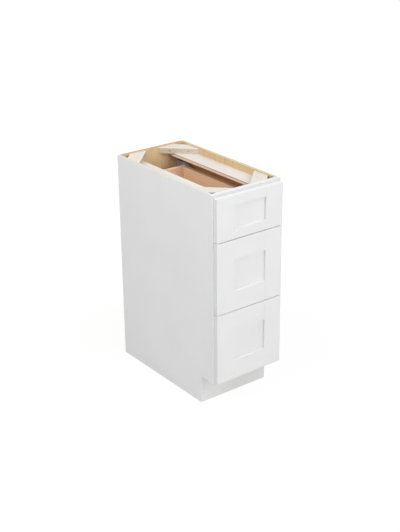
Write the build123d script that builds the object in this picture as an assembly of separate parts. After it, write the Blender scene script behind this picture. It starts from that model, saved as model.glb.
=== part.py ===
from build123d import *
import os

# A base cabinet with three drawers behind a face frame, in millimetres.
# X runs to the right, Y to the back and Z up. The origin is on the floor, in the
# middle of the outline that the carcass and the closed drawer fronts make together.

# Carcass
cabinet_width = 320.0
cabinet_height = 876.3
carcass_depth = 609.6
panel_thickness = 12.7
toe_height = 114.3
toe_recess = 76.2
toe_board_setback = 0.5

# Face frame
frame_thickness = 19.05
frame_stile_width = 38.1
frame_rail_height = 38.1

# Boards and blocks that stiffen the open top
side_board_width = 71.0
side_board_thickness = 12.7
side_board_drop = 27.3
corner_block_thickness = 22.5
corner_block_leg = 118.0
corner_block_clip = 38.0

# Drawer fronts
front_thickness = 19.05
front_side_reveal = 4.85
front_bottom_reveal = 5.7
front_top_reveal = 11.3
front_gap = 4.0
top_front_height = 167.7
front_stile_width = 79.4
shallow_front_rail = 38.1
deep_front_rail = 79.4
front_panel_thickness = 6.35
front_panel_recess = 9.5
front_groove_depth = 9.5

# Bumpers that hold the closed fronts just off the face frame
bumper_thickness = 0.3
bumper_clearance = 0.1
bumper_radius = 4.8
bumper_edge_distance = 12.0

# Drawer boxes
box_length = 533.4
box_thickness = 15.9
box_bottom_thickness = 6.35
box_bottom_lift = 12.7
box_groove_depth = 6.35
box_floor_clearance = 6.2
box_headroom = 37.6
dovetail_pitch = 27.0
dovetail_pin_tip = 5.0
dovetail_pin_root = 9.5

# Side-mounted drawer slides, three nested members on each side
slide_thickness = 12.7
slide_height = 45.0
slide_length = 508.0
slide_middle_length = 480.0
slide_sheet = 1.2
slide_play = 0.3
slide_setback = 3.0
slide_height_in_box = 42.0
slide_lip_step = 1.2
bracket_sheet = 2.0
bracket_overlap = 40.0
bracket_arm_height = 62.0
bracket_flange_height = 70.0
bracket_side_clearance = 0.5
bracket_rise = 9.5
bracket_shoulder = 64.0
bracket_front_rise = 2.0

# Screws
screw_radius = 2.0
screw_head_radius = 3.8
screw_head_height = 2.6
block_screw_head_radius = 2.4
block_pocket_radius = 2.7
block_pocket_depth = 5.2
block_screw_reach = 32.5
block_screw_bite = 9.0
front_screw_bite = 12.0
front_screw_spread = 0.5

# Planes that the pieces share
total_depth = carcass_depth + bumper_thickness + bumper_clearance + front_thickness
front_face_y = -total_depth / 2
front_back_y = front_face_y + front_thickness
frame_face_y = front_back_y + bumper_clearance + bumper_thickness
frame_back_y = frame_face_y + frame_thickness
toe_face_y = frame_face_y + toe_recess
rear_y = total_depth / 2
back_inner_y = rear_y - panel_thickness
half_width = cabinet_width / 2
side_inner_x = half_width - panel_thickness
opening_half = half_width - frame_stile_width
box_half = opening_half - slide_thickness
box_inner_half = box_half - box_thickness
front_half = half_width - front_side_reveal
front_field_half = front_half - front_stile_width
frame_bottom = toe_height
frame_top_rail_bottom = cabinet_height - frame_rail_height
side_board_top = cabinet_height - side_board_drop
slide_front_y = frame_face_y + slide_setback
slide_rear_y = slide_front_y + slide_length
box_rear_y = front_back_y + box_length

# Heights of the drawer fronts: the two lower ones are equal
front_highest_edge = cabinet_height - front_top_reveal
front_lowest_edge = frame_bottom + front_bottom_reveal
top_front_bottom = front_highest_edge - top_front_height
middle_front_top = top_front_bottom - front_gap
deep_front_height = (middle_front_top - front_lowest_edge - front_gap) / 2
middle_front_bottom = middle_front_top - deep_front_height
bottom_front_top = front_lowest_edge + deep_front_height
frame_upper_rail_bottom = (top_front_bottom + middle_front_top - frame_rail_height) / 2
frame_lower_rail_bottom = (middle_front_bottom + bottom_front_top - frame_rail_height) / 2


class Drawer:
    """The heights that set one drawer apart from the others."""

    def __init__(self, name, front_bottom, front_top, front_rail, opening_bottom, opening_top):
        self.name = name
        self.front_bottom = front_bottom
        self.front_top = front_top
        self.front_rail = front_rail
        self.box_bottom = opening_bottom + box_floor_clearance
        self.box_top = opening_top - box_headroom
        self.slide_z = self.box_bottom + slide_height_in_box


drawers = [
    Drawer(
        "top",
        top_front_bottom,
        front_highest_edge,
        shallow_front_rail,
        frame_upper_rail_bottom + frame_rail_height,
        frame_top_rail_bottom,
    ),
    Drawer(
        "middle",
        middle_front_bottom,
        middle_front_top,
        deep_front_rail,
        frame_lower_rail_bottom + frame_rail_height,
        frame_upper_rail_bottom,
    ),
    Drawer(
        "bottom",
        front_lowest_edge,
        bottom_front_top,
        deep_front_rail,
        frame_bottom + frame_rail_height,
        frame_lower_rail_bottom,
    ),
]


def board(x_low, x_high, y_low, y_high, z_low, z_high):
    """A rectangular board between six planes."""
    size = Box(x_high - x_low, y_high - y_low, z_high - z_low, align=(Align.MIN, Align.MIN, Align.MIN))
    return Pos(x_low, y_low, z_low) * size


def to_left(shape):
    """The left-hand twin of a piece that was drawn on the right."""
    return mirror(shape, about=Plane.YZ)


def screw(head_seat, direction, length, head_radius=screw_head_radius):
    """A screw whose head sits on a point and whose shank runs along a direction."""
    shank = Cylinder(screw_radius, length, align=(Align.CENTER, Align.CENTER, Align.MIN))
    head = Cylinder(head_radius, screw_head_height, align=(Align.CENTER, Align.CENTER, Align.MAX))
    return Plane(origin=head_seat, z_dir=direction) * (shank + head)


# Carcass boards


def right_side_panel():
    """A full-height side with the toe space cut from its lower front corner."""
    panel = board(side_inner_x, half_width, frame_back_y, rear_y, 0, cabinet_height)
    toe_space = board(side_inner_x, half_width, frame_back_y, toe_face_y, 0, toe_height)
    return panel - toe_space


def back_panel():
    """The back, held between the two sides and flush with their rear edges."""
    return board(-side_inner_x, side_inner_x, back_inner_y, rear_y, 0, cabinet_height)


def bottom_panel():
    """The cabinet floor, which rests on the toe board."""
    top = toe_height + panel_thickness
    return board(-side_inner_x, side_inner_x, frame_back_y, back_inner_y, toe_height, top)


def toe_board():
    """The upright board that closes the toe space."""
    face_y = toe_face_y + toe_board_setback
    return board(-side_inner_x, side_inner_x, face_y, face_y + panel_thickness, 0, toe_height)


def right_frame_stile():
    """The upright of the face frame on the right."""
    return board(opening_half, half_width, frame_face_y, frame_back_y, frame_bottom, cabinet_height)


def frame_rail(bottom):
    """A rail of the face frame, between the two uprights."""
    top = bottom + frame_rail_height
    return board(-opening_half, opening_half, frame_face_y, frame_back_y, bottom, top)


def right_side_board():
    """The level board along the inside of the right side, under the corner blocks."""
    inner_x = side_inner_x - side_board_width
    bottom = side_board_top - side_board_thickness
    return board(inner_x, side_inner_x, frame_back_y, back_inner_y, bottom, side_board_top)


# Corner blocks and their screws


def corner_places():
    """The four inside corners: name, corner X and Y, and the signs that point inwards."""
    return [
        ("front_left", -side_inner_x, frame_back_y, 1, 1),
        ("front_right", side_inner_x, frame_back_y, -1, 1),
        ("back_left", -side_inner_x, back_inner_y, 1, -1),
        ("back_right", side_inner_x, back_inner_y, -1, -1),
    ]


def corner_screws(corner_x, corner_y, inward_x, inward_y):
    """Two trim-head screws: one through the block into the side, one into the frame or the back."""
    height = side_board_top + corner_block_thickness / 2
    far = corner_block_leg - block_screw_reach
    seat = block_screw_reach - block_pocket_depth
    length = seat + block_screw_bite
    side_seat = (corner_x + inward_x * seat, corner_y + inward_y * far, height)
    end_seat = (corner_x + inward_x * far, corner_y + inward_y * seat, height)
    return [
        screw(side_seat, (-inward_x, 0, 0), length, block_screw_head_radius),
        screw(end_seat, (0, -inward_y, 0), length, block_screw_head_radius),
    ]


def corner_pockets(corner_x, corner_y, inward_x, inward_y):
    """The two bores in the long edge of a block that its screw heads sit in."""
    height = side_board_top + corner_block_thickness / 2
    far = corner_block_leg - block_screw_reach
    seat = block_screw_reach - block_pocket_depth
    bore = Cylinder(block_pocket_radius, block_screw_reach, align=(Align.CENTER, Align.CENTER, Align.MIN))
    side_seat = (corner_x + inward_x * seat, corner_y + inward_y * far, height)
    end_seat = (corner_x + inward_x * far, corner_y + inward_y * seat, height)
    return [
        Plane(origin=side_seat, z_dir=(inward_x, 0, 0)) * bore,
        Plane(origin=end_seat, z_dir=(0, inward_y, 0)) * bore,
    ]


def corner_block(corner_x, corner_y, inward_x, inward_y):
    """A flat board laid across a corner, mitred at both ends, on the side board."""
    outline = [
        (corner_block_clip, 0),
        (corner_block_leg, 0),
        (0, corner_block_leg),
        (0, corner_block_clip),
    ]
    points = [(corner_x + inward_x * across, corner_y + inward_y * along) for across, along in outline]
    face = make_face(Polyline(*points, close=True))
    block = extrude(Pos(0, 0, side_board_top) * face, amount=corner_block_thickness, dir=(0, 0, 1))
    for pocket in corner_pockets(corner_x, corner_y, inward_x, inward_y):
        block = block - pocket
    for fastener in corner_screws(corner_x, corner_y, inward_x, inward_y):
        block = block - fastener
    return block


def all_corner_screws():
    """Every corner block screw."""
    screws = []
    for place in corner_places():
        screws.extend(corner_screws(*place[1:]))
    return screws


def without_screws(piece, screws):
    """A piece with the shank holes of some screws bored in it."""
    for fastener in screws:
        piece = piece - fastener
    return piece


# Bumpers, slides and brackets


def frame_bumpers():
    """A bumper behind each corner of each drawer front, stuck on the face frame."""
    bumpers = []
    x_place = (opening_half + front_half) / 2
    disc = Cylinder(bumper_radius, bumper_thickness, align=(Align.CENTER, Align.CENTER, Align.MIN))
    for drawer in drawers:
        for height in (drawer.front_bottom + bumper_edge_distance, drawer.front_top - bumper_edge_distance):
            for x in (-x_place, x_place):
                bumpers.append(Plane(origin=(x, frame_face_y, height), z_dir=(0, -1, 0)) * disc)
    return bumpers


def channel(web_x, open_x, half_height, centre_z, y_low, y_high):
    """A folded channel: its web stands on one X plane and its flanges end on another."""
    inward = 1 if open_x > web_x else -1
    low_x, high_x = sorted((web_x, open_x))
    body = board(low_x, high_x, y_low, y_high, centre_z - half_height, centre_z + half_height)
    hollow_low, hollow_high = sorted((web_x + inward * slide_sheet, open_x))
    hollow_half = half_height - slide_sheet
    hollow = board(hollow_low, hollow_high, y_low, y_high, centre_z - hollow_half, centre_z + hollow_half)
    return body - hollow


def slide_half_height(nesting):
    """Half the height of a slide member that lies inside a number of others."""
    return slide_height / 2 - nesting * (slide_sheet + slide_play)


def right_cabinet_member(drawer):
    """The fixed member of the right slide, against the edge of the face frame."""
    lip_x = box_half + 3 * slide_lip_step
    return channel(opening_half, lip_x, slide_half_height(0), drawer.slide_z, slide_front_y, slide_rear_y)


def right_middle_member(drawer):
    """The member between the fixed one and the drawer's own."""
    web_x = opening_half - slide_sheet - slide_play
    lip_x = box_half + 2 * slide_lip_step
    end_y = slide_front_y + slide_middle_length
    return channel(web_x, lip_x, slide_half_height(1), drawer.slide_z, slide_front_y, end_y)


def right_drawer_member(drawer):
    """The member that is fixed to the side of the drawer box."""
    lip_x = opening_half - 2 * (slide_sheet + slide_play) - slide_play
    return channel(box_half, lip_x, slide_half_height(2), drawer.slide_z, slide_front_y, slide_rear_y)


def right_rear_bracket(drawer):
    """The bracket that carries the rear end of the fixed member from the back panel.

    Its arm is full height as far as a shoulder and slopes down to the member in front of it.
    """
    arm_front_y = slide_rear_y - bracket_overlap
    shoulder_y = max(arm_front_y, back_inner_y - bracket_shoulder)
    arm_half = bracket_arm_height / 2
    flange_half = bracket_flange_height / 2
    flange_x = side_inner_x - bracket_side_clearance
    centre_z = drawer.slide_z + bracket_rise
    low = centre_z - arm_half
    high = centre_z + arm_half
    front_high = drawer.slide_z + slide_height / 2 + bracket_front_rise
    outline = [
        (back_inner_y, low),
        (back_inner_y, high),
        (shoulder_y, high),
        (arm_front_y, front_high),
        (arm_front_y, low),
    ]
    points = [(opening_half, y, z) for y, z in outline]
    arm = extrude(make_face(Polyline(*points, close=True)), amount=bracket_sheet, dir=(1, 0, 0))
    flange_low = centre_z - flange_half
    flange_high = centre_z + flange_half
    flange_front_y = back_inner_y - bracket_sheet
    flange = board(opening_half, flange_x, flange_front_y, back_inner_y, flange_low, flange_high)
    return arm + flange


def pair(right_piece):
    """A right-hand piece and its left-hand twin."""
    return [to_left(right_piece), right_piece]


# Drawer fronts


def front_panel(drawer):
    """The thin centre panel, let into the grooves of the frame around it."""
    x = front_field_half + front_groove_depth
    y_low = front_face_y + front_panel_recess
    low = drawer.front_bottom + drawer.front_rail - front_groove_depth
    high = drawer.front_top - drawer.front_rail + front_groove_depth
    return board(-x, x, y_low, y_low + front_panel_thickness, low, high)


def front_rail(drawer, low, high):
    """A rail with a stub tenon at each end, grooved for the centre panel."""
    x = front_field_half
    tenon_x = front_field_half + front_groove_depth
    tenon_y = front_face_y + front_panel_recess
    rail = board(-x, x, front_face_y, front_back_y, low, high)
    tenons = board(-tenon_x, tenon_x, tenon_y, tenon_y + front_panel_thickness, low, high)
    return rail + tenons - front_panel(drawer)


def front_rails(drawer):
    """The top rail and the bottom rail of a drawer front."""
    top_rail = front_rail(drawer, drawer.front_top - drawer.front_rail, drawer.front_top)
    bottom_rail = front_rail(drawer, drawer.front_bottom, drawer.front_bottom + drawer.front_rail)
    return top_rail, bottom_rail


def right_front_stile(drawer):
    """The right upright, grooved for the panel and for the tenons of the rails."""
    z_low, z_high = drawer.front_bottom, drawer.front_top
    stile = board(front_field_half, front_half, front_face_y, front_back_y, z_low, z_high)
    stile = stile - front_panel(drawer)
    for rail in front_rails(drawer):
        stile = stile - rail
    return without_screws(stile, front_screws(drawer))


def front_screws(drawer):
    """The screws that hold the drawer front to the box, driven from inside the box."""
    groove_end = front_field_half + front_groove_depth
    x_place = (groove_end + box_inner_half) / 2
    seat_y = front_back_y + box_thickness
    floor = drawer.box_bottom + box_bottom_lift + box_bottom_thickness
    middle = (floor + drawer.box_top) / 2
    spread = front_screw_spread * (drawer.box_top - floor) / 2
    screws = []
    for height in (middle - spread, middle + spread):
        for x in (-x_place, x_place):
            screws.append(screw((x, seat_y, height), (0, -1, 0), box_thickness + front_screw_bite))
    return screws


# Drawer boxes


def box_bottom(drawer):
    """The floor of a drawer box, let into grooves on all four sides."""
    x = box_inner_half + box_groove_depth
    y_low = front_back_y + box_thickness - box_groove_depth
    y_high = box_rear_y - box_thickness + box_groove_depth
    low = drawer.box_bottom + box_bottom_lift
    return board(-x, x, y_low, y_high, low, low + box_bottom_thickness)


def right_dovetail_pin(drawer, height, outer_y, inner_y):
    """One pin of a dovetail joint, cut off level with the edges of the box."""
    tip_low = max(height - dovetail_pin_tip / 2, drawer.box_bottom)
    tip_high = min(height + dovetail_pin_tip / 2, drawer.box_top)
    root_low = max(height - dovetail_pin_root / 2, drawer.box_bottom)
    root_high = min(height + dovetail_pin_root / 2, drawer.box_top)
    outline = [(outer_y, tip_low), (outer_y, tip_high), (inner_y, root_high), (inner_y, root_low)]
    points = [(box_inner_half, y, z) for y, z in outline]
    return extrude(make_face(Polyline(*points, close=True)), amount=box_thickness, dir=(1, 0, 0))


def right_dovetail_pins(drawer, outer_y, inner_y):
    """The pins on the right end of a box front or back, with half pins top and bottom."""
    box_height = drawer.box_top - drawer.box_bottom
    tails = round(box_height / dovetail_pitch)
    heights = [drawer.box_bottom + box_height * step / tails for step in range(tails + 1)]
    return [right_dovetail_pin(drawer, height, outer_y, inner_y) for height in heights]


def right_box_side(drawer):
    """The right side of a drawer box, with dovetails at both ends."""
    z_low, z_high = drawer.box_bottom, drawer.box_top
    side = board(box_inner_half, box_half, front_back_y, box_rear_y, z_low, z_high)
    for pin in right_dovetail_pins(drawer, front_back_y, front_back_y + box_thickness):
        side = side - pin
    for pin in right_dovetail_pins(drawer, box_rear_y, box_rear_y - box_thickness):
        side = side - pin
    return side - box_bottom(drawer)


def box_end(drawer, outer_y, inner_y):
    """The front or the back of a drawer box, with its pins let into both sides."""
    z_low, z_high = drawer.box_bottom, drawer.box_top
    y_low, y_high = sorted((outer_y, inner_y))
    end = board(-box_inner_half, box_inner_half, y_low, y_high, z_low, z_high)
    for pin in right_dovetail_pins(drawer, outer_y, inner_y):
        end = end + pin + to_left(pin)
    return end - box_bottom(drawer)


# The list of pieces, one file each


def cabinet_pieces():
    """Every piece that stays still."""
    block_screws = all_corner_screws()
    side = without_screws(right_side_panel(), block_screws)
    pieces = {
        "side_panel_right": side,
        "side_panel_left": to_left(side),
        "back_panel": without_screws(back_panel(), block_screws),
        "bottom_panel": bottom_panel(),
        "toe_board": toe_board(),
        "frame_stile_right": right_frame_stile(),
        "frame_stile_left": to_left(right_frame_stile()),
        "frame_rail_top": without_screws(frame_rail(frame_top_rail_bottom), block_screws),
        "frame_rail_upper": frame_rail(frame_upper_rail_bottom),
        "frame_rail_lower": frame_rail(frame_lower_rail_bottom),
        "frame_rail_bottom": frame_rail(frame_bottom),
        "side_board_right": right_side_board(),
        "side_board_left": to_left(right_side_board()),
        "corner_block_screws": Compound(block_screws),
        "frame_bumpers": Compound(frame_bumpers()),
    }
    for name, *place in corner_places():
        pieces["corner_block_" + name] = corner_block(*place)
    members = []
    brackets = []
    for drawer in drawers:
        members.extend(pair(right_cabinet_member(drawer)))
        brackets.extend(pair(right_rear_bracket(drawer)))
    pieces["slide_cabinet_members"] = Compound(members)
    pieces["slide_rear_brackets"] = Compound(brackets)
    return pieces


def drawer_pieces(drawer):
    """Every piece of one drawer and the middle members of its slides."""
    screws = front_screws(drawer)
    top_rail, bottom_rail = front_rails(drawer)
    front = box_end(drawer, front_back_y, front_back_y + box_thickness)
    back = box_end(drawer, box_rear_y, box_rear_y - box_thickness)
    pieces = {
        "front_stile_right": right_front_stile(drawer),
        "front_stile_left": to_left(right_front_stile(drawer)),
        "front_rail_top": top_rail,
        "front_rail_bottom": bottom_rail,
        "front_panel": front_panel(drawer),
        "front_screws": Compound(screws),
        "box_side_right": right_box_side(drawer),
        "box_side_left": to_left(right_box_side(drawer)),
        "box_front": without_screws(front, screws),
        "box_back": back,
        "box_bottom": box_bottom(drawer),
        "slide_members": Compound(pair(right_drawer_member(drawer))),
        "slide_middles": Compound(pair(right_middle_member(drawer))),
    }
    return {"drawer_" + drawer.name + "_" + name: piece for name, piece in pieces.items()}


def write_pieces(pieces):
    """Write one STEP file for each piece."""
    for name, piece in pieces.items():
        export_step(piece, "parts/" + name + ".step")


os.makedirs("parts", exist_ok=True)
write_pieces(cabinet_pieces())
for each_drawer in drawers:
    write_pieces(drawer_pieces(each_drawer))
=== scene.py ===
"""The finished look of a narrow floor cabinet with three drawers.

White lacquer over the carcass and the drawer fronts, birch veneer inside, pale
plywood boards round the open top, and dovetailed maple drawer boxes on
zinc-plated slides. Lengths are millimetres unless a name says otherwise, and
`MM` turns them into metres, the unit of the meshes.
"""

import logging
import math
from collections.abc import Callable, Mapping, Sequence
from dataclasses import dataclass, replace
from enum import Enum
from typing import NamedTuple

import bmesh
import bpy
from mathutils import Euler, Matrix, Vector


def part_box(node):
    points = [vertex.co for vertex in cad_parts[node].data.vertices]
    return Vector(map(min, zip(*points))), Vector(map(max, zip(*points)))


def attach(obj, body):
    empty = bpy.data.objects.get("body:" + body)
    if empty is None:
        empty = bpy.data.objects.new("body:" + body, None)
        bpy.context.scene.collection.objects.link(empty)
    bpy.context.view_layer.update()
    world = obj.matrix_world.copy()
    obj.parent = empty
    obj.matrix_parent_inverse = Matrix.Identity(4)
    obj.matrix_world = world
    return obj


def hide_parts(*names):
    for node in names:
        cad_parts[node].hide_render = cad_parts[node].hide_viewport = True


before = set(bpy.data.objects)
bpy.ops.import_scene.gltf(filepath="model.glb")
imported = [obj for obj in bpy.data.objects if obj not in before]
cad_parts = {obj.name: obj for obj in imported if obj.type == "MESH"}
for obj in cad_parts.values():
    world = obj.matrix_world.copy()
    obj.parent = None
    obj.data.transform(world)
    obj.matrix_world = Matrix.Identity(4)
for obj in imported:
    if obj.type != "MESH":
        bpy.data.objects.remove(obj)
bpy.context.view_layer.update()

LOG = logging.getLogger("cabinet")
MM = 0.001
X, Y, Z = Vector((1, 0, 0)), Vector((0, 1, 0)), Vector((0, 0, 1))
UNTURNED = Euler((0, 0, 0))

Colour = tuple[float, float, float]
Finish = bpy.types.Material
Mesh = bpy.types.Mesh
Finishes = Sequence[Finish]
Seat = tuple[Sequence[float], Sequence[float]]
Pair = tuple[float, float]
Key = str | int
Names = Sequence[str]
Scale = float | Sequence[float]
FaceRule = Callable[[Vector], int]


def srgb(*levels: float) -> Colour:
    """Turn red, green and blue on the 0-255 scale into linear shader values."""
    shares = [level / 255 for level in levels]
    return tuple(share / 12.92 if share <= 0.04045 else ((share + 0.055) / 1.055) ** 2.4 for share in shares)


class Slot(Enum):
    """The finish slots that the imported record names."""

    PAINT = "painted_wood"
    PLYWOOD = "plywood"
    MAPLE = "drawer_maple"
    STEEL = "slide_steel"
    BRACKET = "bracket_polymer"
    SCREW = "screw_steel"
    BUMPER = "bumper_polymer"


class Grain(Enum):
    """The way a board's fibres run, as the turn that lays them along X."""

    ACROSS = (0.0, 0.0, 0.0)
    DEEP = (0.0, 0.0, -math.pi / 2)
    UPRIGHT = (0.0, math.pi / 2, 0.0)
    RISING = (0.0, 0.0, -math.pi / 4)
    FALLING = (0.0, 0.0, math.pi / 4)


class Web(Enum):
    """The webs of a slide's members, by how far their outer faces are from the cabinet's middle."""

    CABINET = 121.9
    MIDDLE = 120.4
    DRAWER = 109.2


class Box(NamedTuple):
    """The lowest and the highest corner of a solid, in millimetres."""

    low: Vector
    high: Vector

    @property
    def middle(self) -> Vector:
        """The point halfway between the corners."""
        return (self.low + self.high) / 2


def box_of(node: str) -> Box:
    """A node's box."""
    low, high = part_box(node)
    return Box(low / MM, high / MM)


# Node trees


def operator(operation: str) -> Callable[..., "Term"]:
    """A method of Term that adds one Math node to the term's own sheet."""
    return lambda *values: values[0].sheet.math(operation, *values)


class Term:
    """An output of a node that stands in arithmetic: each operator adds one Math node."""

    def __init__(self, sheet: "NodeSheet", node: bpy.types.Node, output: Key = 0) -> None:
        """Hold an output.

        Args:
            sheet: The sheet that its node is on.
            node: The node.
            output: The output's name or number; a closing node has none.
        """
        self.sheet = sheet
        self.node = node
        self.socket = node.outputs[output] if node.outputs else None

    __add__ = __radd__ = operator("ADD")
    __sub__ = operator("SUBTRACT")
    __mul__ = __rmul__ = operator("MULTIPLY")
    __truediv__ = operator("DIVIDE")
    __pow__ = operator("POWER")
    __gt__ = operator("GREATER_THAN")
    __abs__ = operator("ABSOLUTE")
    fract = operator("FRACT")
    floor = operator("FLOOR")
    root = operator("SQRT")

    def __rsub__(self, other: float) -> "Term":
        """The difference, with this term taken away."""
        return self.sheet.math("SUBTRACT", other, self)

    def at(self, output: Key) -> "Term":
        """Another output of the same node."""
        return Term(self.sheet, self.node, output)

    def swing(self, depth: float) -> "Term":
        """A noise from 0 to 1 as a swing about 0, this deep from end to end."""
        return (self - 0.5) * depth

    def step(self, low: float, high: float) -> "Term":
        """A smooth step from 0 at low to 1 at high."""
        ends = {"Value": self, "From Min": low, "From Max": high}
        return self.sheet.node("ShaderNodeMapRange", ends, interpolation_type="SMOOTHSTEP")


Number = float | Term
Feed = Term | list[Term] | float | str | Sequence[float] | Euler | bpy.types.ID
Inputs = Mapping[Key, Feed]


class NodeSheet:
    """A node tree with one way to add a node, and shorthands for common ones."""

    def __init__(self, tree: bpy.types.NodeTree) -> None:
        """Hold the tree that the nodes go to."""
        self.tree = tree

    def node(self, kind: str, inputs: Inputs | None = None, output: Key = 0, **settings: object) -> Term:
        """Add a node, set what it is, then feed its sockets.

        Args:
            kind: The node's type.
            inputs: A value, a term or a list of terms by socket name or number.
            output: The output that is wanted.
            settings: Properties of the node.

        Returns:
            That output.
        """
        made = self.tree.nodes.new(kind)
        for key, value in settings.items():
            setattr(made, key, value)
        for key, value in (inputs or {}).items():
            socket = made.inputs[key]
            if isinstance(value, (Term, list)):
                for term in value if isinstance(value, list) else [value]:
                    self.tree.links.new(term.socket, socket)
            else:
                socket.default_value = (*value, 1.0) if socket.type == "RGBA" else value
        return Term(self, made, output)

    def math(self, operation: str, *values: Number) -> Term:
        """Add a Math node on one or more values."""
        return self.node("ShaderNodeMath", dict(enumerate(values)), operation=operation)

    def vector(self, operation: str, *values: Feed) -> Term:
        """Add a Vector Math node."""
        return self.node("ShaderNodeVectorMath", dict(enumerate(values)), operation=operation)

    def parts(self, vector: Term) -> tuple[Term, Term, Term]:
        """Split a vector into its three numbers."""
        split = self.node("ShaderNodeSeparateXYZ", {0: vector})
        return split, split.at(1), split.at(2)

    def joined(self, *numbers: Number) -> Term:
        """Join three numbers into a vector."""
        return self.node("ShaderNodeCombineXYZ", dict(enumerate(numbers)))


class Shading(NodeSheet):
    """The node tree of one material, with object coordinates in millimetres."""

    def __init__(self, name: str) -> None:
        """Start an empty material.

        Args:
            name: The material's name.
        """
        self.material = bpy.data.materials.new(name)
        self.material.use_nodes = True
        super().__init__(self.material.node_tree)
        self.tree.nodes.clear()

    def place(self, turn: Euler = UNTURNED, centre: Sequence[float] = (0, 0, 0)) -> Term:
        """Find the point being shaded, from a centre and turned to the grain.

        Args:
            turn: The turn that lays the grain along X.
            centre: The point that becomes the origin.

        Returns:
            The turned point, in millimetres.
        """
        shift = Vector(centre)
        shift.rotate(turn)
        local = self.node("ShaderNodeTexCoord", output="Object")
        mapped = {"Vector": local, "Location": -shift, "Rotation": turn, "Scale": Vector((1, 1, 1)) / MM}
        return self.node("ShaderNodeMapping", mapped, vector_type="POINT")

    def noise(self, point: Term, scale: Scale, detail: float = 2.0, roughness: float = 0.5) -> Term:
        """Read a noise from 0 to 1.

        Args:
            point: Where it is read.
            scale: Cycles per millimetre, along each axis or along all.
            detail: Octaves on top of the first.
            roughness: Weight of the finer octaves.

        Returns:
            The noise.
        """
        scaled = self.vector("MULTIPLY", point, Vector([scale] * 3 if isinstance(scale, float) else scale))
        inputs = {"Vector": scaled, "Scale": 1.0, "Detail": detail, "Roughness": roughness}
        return self.node("ShaderNodeTexNoise", inputs, noise_dimensions="3D")

    def blend(self, factor: Number, first: Colour | Term, second: Colour | Term, mode: str = "MIX") -> Term:
        """Mix two colours by a factor that is kept between 0 and 1."""
        inputs = {0: factor, 6: first, 7: second}
        return self.node("ShaderNodeMix", inputs, 2, data_type="RGBA", blend_type=mode, clamp_factor=True)

    def close(self, varying: Inputs, constants: Inputs, height: Term, depth: float) -> Finish:
        """Close the material with a Principled shader.

        Args:
            varying: Terms for the sockets that change over the surface.
            constants: Values that are the same all over.
            height: The surface's relief, from 0 to 1.
            depth: The relief's height.

        Returns:
            The material.
        """
        relief = self.node("ShaderNodeBump", {"Height": height, "Strength": 1.0, "Distance": depth * MM})
        shader = self.node("ShaderNodeBsdfPrincipled", {**constants, **varying, "Normal": relief})
        self.node("ShaderNodeOutputMaterial", {"Surface": shader})
        return self.material


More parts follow.
